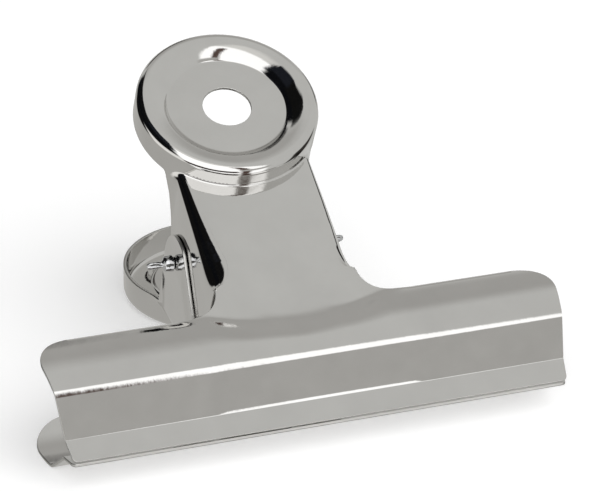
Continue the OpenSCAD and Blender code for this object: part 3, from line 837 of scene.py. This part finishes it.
def metal(name, tint, haze, waver, peel_mm, grain=(1, 1, 1)):
    """A bare or plated metal: two tints, a roughness range, and a waver of so many millimetres."""
    material = bpy.data.materials.new(name)
    material.use_nodes = True
    tree = material.node_tree
    shader = tree.nodes["Principled BSDF"]
    shader.inputs["Metallic"].default_value = 1.0
    place = node(tree, "ShaderNodeMapping", {"in_Scale": grain},
                 Vector=node(tree, "ShaderNodeTexCoord").outputs["Object"]).outputs[0]
    clouds = node(tree, "ShaderNodeTexNoise", {"in_Scale": 1000 / CLOUD_MM, "in_Detail": 3.0},
                  Vector=place)
    tone = node(tree, "ShaderNodeMix", {"data_type": "RGBA", "in_6": colour(tint[0]),
                                        "in_7": colour(tint[1])}, Factor=clouds.outputs[0])
    fog = node(tree, "ShaderNodeTexNoise", {"in_Scale": 1000 / HAZE_MM, "in_Detail": 5.0,
                                            "in_Roughness": 0.65}, Vector=place)
    rough = node(tree, "ShaderNodeMapRange",
                 {"in_From Min": 0.35, "in_From Max": 0.7, "in_To Min": haze[0],
                  "in_To Max": haze[1]}, Value=fog.outputs[0])
    peel = node(tree, "ShaderNodeTexNoise", {"in_Scale": 1000 / peel_mm, "in_Detail": 2.0},
                Vector=place)
    wave = node(tree, "ShaderNodeTexNoise", {"in_Scale": 1000 / (WAVE_LENGTHS * peel_mm),
                                             "in_Detail": 1.0}, Vector=place)
    height = node(tree, "ShaderNodeMath", {"operation": "MULTIPLY_ADD", "in_1": WAVE_HEIGHT},
                  _0=wave.outputs[0], _2=peel.outputs[0])
    bump = node(tree, "ShaderNodeBump", {"in_Strength": 1.0, "in_Distance": waver / 1000},
                Height=height.outputs[0])
    tree.links.new(tone.outputs[2], shader.inputs["Base Color"])
    tree.links.new(rough.outputs[0], shader.inputs["Roughness"])
    tree.links.new(bump.outputs[0], shader.inputs["Normal"])
    return material


# %% Bright nickel plate, sheared edge, pin and wire
# Bright nickel on cold rolled steel: nearly a mirror. Its orange peel is 0.5 mm wide and
# 4 micrometres deep, which only shows at the edges of the highlights.
plate = metal("bright_nickel_plate", ("#DEDDDB", "#D1D0CE"), (0.03, 0.085), 0.004, 0.5)
# The same plate on the sheet's cut edge, which the shear has torn: duller, darker and
# rough. Real tear marks are under 0.1 mm wide; 0.25 mm is as fine as the picture shows.
sheared = metal("nickel_on_sheared_edge", ("#CFCECB", "#BDBCB9"), (0.3, 0.45), 0.01, 0.25)
# Drawn steel rod under a thin zinc flash: bluish beside the nickel, with die marks drawn
# out to three times their width along the pin. They are 0.5 mm wide here, to show.
rod = metal("zinc_flashed_rod", ("#D6D7D8", "#C4C5C7"), (0.08, 0.2), 0.012, 0.5, (0.3, 1, 1))
# Oil tempered spring wire, drawn and left dark: the oil's thin oxide gives a dull brown
# grey, and its drawing marks, 0.3 mm wide here to show, spread every highlight.
wire = metal("oil_tempered_wire", ("#8F8C88", "#77736E"), (0.22, 0.36), 0.008, 0.3)
for obj in (front_half, rear_half):
    obj.data.materials.append(plate)
    obj.data.materials.append(sheared)
pin.data.materials.append(rod)
spring.data.materials.append(wire)
print("finishes:", [m.name for m in (plate, sheared, rod, wire)])

# %% [markdown]
# ## Camera
# The camera stands where the photograph was taken from: in front of the jaws, to
# the left and above, far away with a long lens. Such a lens keeps parallel edges
# nearly parallel, which a nearer camera with a shorter lens would not.

# %% Camera
# The clip as the camera sees it: a rotation vector in radians and a shift in millimetres.
TURN = (2.25893492, -0.320466821, 0.270446962)
SHIFT = (3.85486576, 25.0112826, 396.328761)
FOCAL_PX, PHOTO_PX, SENSOR_MM = 2800, 600, 36  # focal length and picture width
angle = math.sqrt(sum(t * t for t in TURN))
to_camera = np.array(Matrix.Rotation(angle, 3, [t / angle for t in TURN]))
stands_at = on_desk([-to_camera.T @ np.array(SHIFT)])[0].tolist()
tilt_back = np.array(Matrix.Rotation(TILT, 3, "X"))
axes = (np.diag([1.0, -1, -1]) @ to_camera @ tilt_back.T).T
camera_data = bpy.data.cameras.new("camera")
camera_data.sensor_width = SENSOR_MM
camera_data.lens = SENSOR_MM * FOCAL_PX / PHOTO_PX
camera_data.clip_start, camera_data.clip_end = 0.01, 20
camera = bpy.data.objects.new("camera", camera_data)
camera.matrix_world = Matrix.Translation(stands_at) @ Matrix(axes.tolist()).to_4x4()
bpy.context.scene.collection.objects.link(camera)
bpy.context.scene.camera = camera
print("camera at", [round(c, 3) for c in stands_at], "metres")

# %% [markdown]
# ## The floor
# The clip lies on plain white paper, for which a plane with a matt, almost white
# surface does. In the photograph the paper is bright and its shadow pale, so a weak
# glow lifts both. A stronger lamp would whiten the paper too, but leave the shadow as
# dark beside it. The metal doesn't mirror this plane: its floor is a studio card.

# %% Floor
FLOOR_MM = 3000  # half its width
PAPER_GLOW = 0.28
bpy.context.scene.view_settings.view_transform = "Standard"
floor_points = [(FLOOR_MM * a, FLOOR_MM * b, 0) for a, b in ((-1, -1), (1, -1), (1, 1), (-1, 1))]
floor = make_object("floor", floor_points, [[0, 1, 2, 3]])
floor.visible_glossy = False
paper = bpy.data.materials.new("white_paper_floor")
paper.use_nodes = True
tree = paper.node_tree
matt = tree.nodes["Principled BSDF"]
matt.inputs["Base Color"].default_value = colour("#E6E6E6")
matt.inputs["Roughness"].default_value = 0.9
glow = node(tree, "ShaderNodeEmission", {"in_Color": (1, 1, 1, 1), "in_Strength": PAPER_GLOW})
glowing = node(tree, "ShaderNodeAddShader", _0=matt.outputs[0], _1=glow.outputs[0])
to_eye = node(tree, "ShaderNodeLightPath").outputs["Is Camera Ray"]
looks = node(tree, "ShaderNodeMixShader", Fac=to_eye, _1=matt.outputs[0], _2=glowing.outputs[0])
tree.links.new(looks.outputs[0], tree.nodes["Material Output"].inputs[0])
floor.data.materials.append(paper)
print("floor is", 2 * FLOOR_MM / 1000, "m wide")

# %% [markdown]
# ## What the metal mirrors
# A mirror has no look of its own: it shows the studio. Round the clip stand a wide
# white softbox in front, a black flag at the left and a bright room behind, and a
# grey table goes on below. Real panels would also light the paper and cast shadows.
# So the cards are drawn by direction in the world, for glossy rays only, and the
# floor and its shadow keep a plain white light of their own.

# %% Directions round the clip, in degrees
world = bpy.data.worlds.new("studio")
bpy.context.scene.world = world
world.use_nodes = True
sky = world.node_tree
way = node(sky, "ShaderNodeTexCoord").outputs["Generated"]
split = node(sky, "ShaderNodeSeparateXYZ", Vector=way)
toward = node(sky, "ShaderNodeMath", {"operation": "MULTIPLY", "in_1": -1.0}, _0=split.outputs[1])
around = node(sky, "ShaderNodeMath", {"operation": "ARCTAN2"},
              _0=split.outputs[0], _1=toward.outputs[0])
above = node(sky, "ShaderNodeMath", {"operation": "ARCSINE"}, _0=split.outputs[2])
azimuth_now, elevation_now = (
    node(sky, "ShaderNodeMath", {"operation": "DEGREES"}, _0=a.outputs[0]).outputs[0]
    for a in (around, above))
print("azimuth 0 is in front of the clip, 90 at its right")

# %% The cards
STUDIO = [  # name, (from, to) azimuth, (from, to) elevation, blur, lean, sRGB, strength
    ("bright ceiling edge", (-48, 24), (50, 80), 8, 0, "#E0DFDC", 1.15),
    ("white softbox", (-56, 31), (-58, 62), 3.5, 0, "#FFFFFF", 1.5),
    ("stand in front of it", (5, 15), (-48, 56), 2.5, 0.05, "#5A4A44", 1.0),
    ("hand rail of the stand", (-64, 2), (-19, 1), 3, 0, "#372B28", 1.0),
    ("grey apron of the table", (6, 34), (3, 23), 3, 0, "#A8A7A4", 1.25),
    ("navy wing of the flag", (-120, -52), (40, 85), 4, 0, "#1E2026", 1.0),
    ("black flag", (-160, -59), (8, 52), 4, 0, "#0E0F12", 1.0),
    ("black flag, high part", (-168, -100), (44, 78), 3, 0, "#131313", 1.0),
    ("grey table at the left", (-215, -58), (-91, 6), 4, 0, "#A6A5A2", 1.3),
    ("black flag, foot", (-150, -116), (-16, 24), 3, 0, "#131313", 1.0),
    ("white paper at the left", (-112, -58), (-21, 6), 4, 0, "#F4F3F0", 1.1),
    ("dim back of the room", (130, 190), (22, 66), 12, 0, "#B5B4B1", 1.0),
    ("dark back door", (167, 192), (15, 36), 4, 0, "#4A4845", 1.0),
    ("door post", (119, 136), (2, 16), 2, 0, "#1F1E1D", 1.0),
    # Painted shade: the white paper straight under the clip, drawn dark as the clip shades it, for
    # the metal to mirror.
    ("painted shade of the paper under the clip", (-90, 75), (-91, -60), 3, 0, "#4A403B", 1.0),
    ("dark corner at the right", (62, 98), (-34, 6), 4, 0, "#3A3734", 1.0),
    # A narrow dark card, slanting, below the horizon at the right.
    ("dark slanted stripe low at the right", (86, 94), (-52, -10), 4, -1.0, "#1C1A18", 1.0),
]
print(len(STUDIO), "cards, each over the ones before it")


# %% Draw the cards one over the other
def within(value, half, blur):
    """1 within half of zero, 0 further out, with a soft edge."""
    away = node(sky, "ShaderNodeMath", {"operation": "ABSOLUTE"}, _0=value)
    return node(sky, "ShaderNodeMapRange",
                {"interpolation_type": "SMOOTHSTEP", "in_From Min": half - blur,
                 "in_From Max": half + blur, "in_To Min": 1, "in_To Max": 0},
                Value=away.outputs[0]).outputs[0]


def lit(shade, strength):
    """A colour of the studio, which may be brighter than white."""
    return [c * strength for c in colour(shade)[:3]] + [1]


bare_room = node(sky, "ShaderNodeRGB")
bare_room.outputs[0].default_value = lit("#B4B4B2", 1.4)
picture = bare_room.outputs[0]
for name, azimuth, elevation, blur, lean, shade, strength in STUDIO:
    mid_a, mid_e = sum(azimuth) / 2, sum(elevation) / 2
    half_a, half_e = (azimuth[1] - azimuth[0]) / 2, (elevation[1] - elevation[0]) / 2
    leaned = node(sky, "ShaderNodeMath", {"operation": "MULTIPLY_ADD", "in_1": -lean,
                                          "in_2": mid_e * lean - mid_a}, _0=elevation_now)
    across = node(sky, "ShaderNodeMath", {"operation": "ADD"},
                  _0=azimuth_now, _1=leaned.outputs[0])
    across = node(sky, "ShaderNodeMath", {"operation": "WRAP", "in_1": 180.0, "in_2": -180.0},
                  _0=across.outputs[0])
    rise = node(sky, "ShaderNodeMath", {"operation": "SUBTRACT", "in_1": mid_e}, _0=elevation_now)
    mask = node(sky, "ShaderNodeMath", {"operation": "MULTIPLY"},
                _0=within(across.outputs[0], half_a, blur),
                _1=within(rise.outputs[0], half_e, blur))
    layered = node(sky, "ShaderNodeMix", {"data_type": "RGBA", "clamp_result": False,
                                          "in_7": lit(shade, strength)},
                   Factor=mask.outputs[0], _6=picture)
    picture = layered.outputs[2]
print("the last card on top is the", name)

# %% Light for the floor, and which ray sees what
# The floor is lit by white light from all round and a wide lamp in front, a little to
# the right, so the clip's soft shadow falls behind it and to the left.
LAMP_WAY, ROOM_LIGHT, LAMP_LIGHT = (0.16, -0.9, 0.4), 0.33, 2.65
facing = node(sky, "ShaderNodeVectorMath", {"operation": "DOT_PRODUCT", "in_1": LAMP_WAY}, _0=way)
lamp = node(sky, "ShaderNodeMapRange",
            {"interpolation_type": "SMOOTHSTEP", "in_From Min": 0.35, "in_From Max": 0.95,
             "in_To Min": ROOM_LIGHT, "in_To Max": ROOM_LIGHT + LAMP_LIGHT},
            Value=facing.outputs["Value"])
plain = sky.nodes["Background"]
plain.inputs["Color"].default_value = (1, 1, 1, 1)
sky.links.new(lamp.outputs[0], plain.inputs["Strength"])
mirrored_room = node(sky, "ShaderNodeBackground", Color=picture)
ray = node(sky, "ShaderNodeLightPath")
glossy = node(sky, "ShaderNodeMath", {"operation": "MAXIMUM"},
              _0=ray.outputs["Is Glossy Ray"], _1=ray.outputs["Is Transmission Ray"])
by_ray = node(sky, "ShaderNodeMixShader", Fac=glossy.outputs[0],
              _1=plain.outputs[0], _2=mirrored_room.outputs[0])
sky.links.new(by_ray.outputs[0], sky.nodes["World Output"].inputs[0])
print("world has", len(sky.nodes), "nodes")
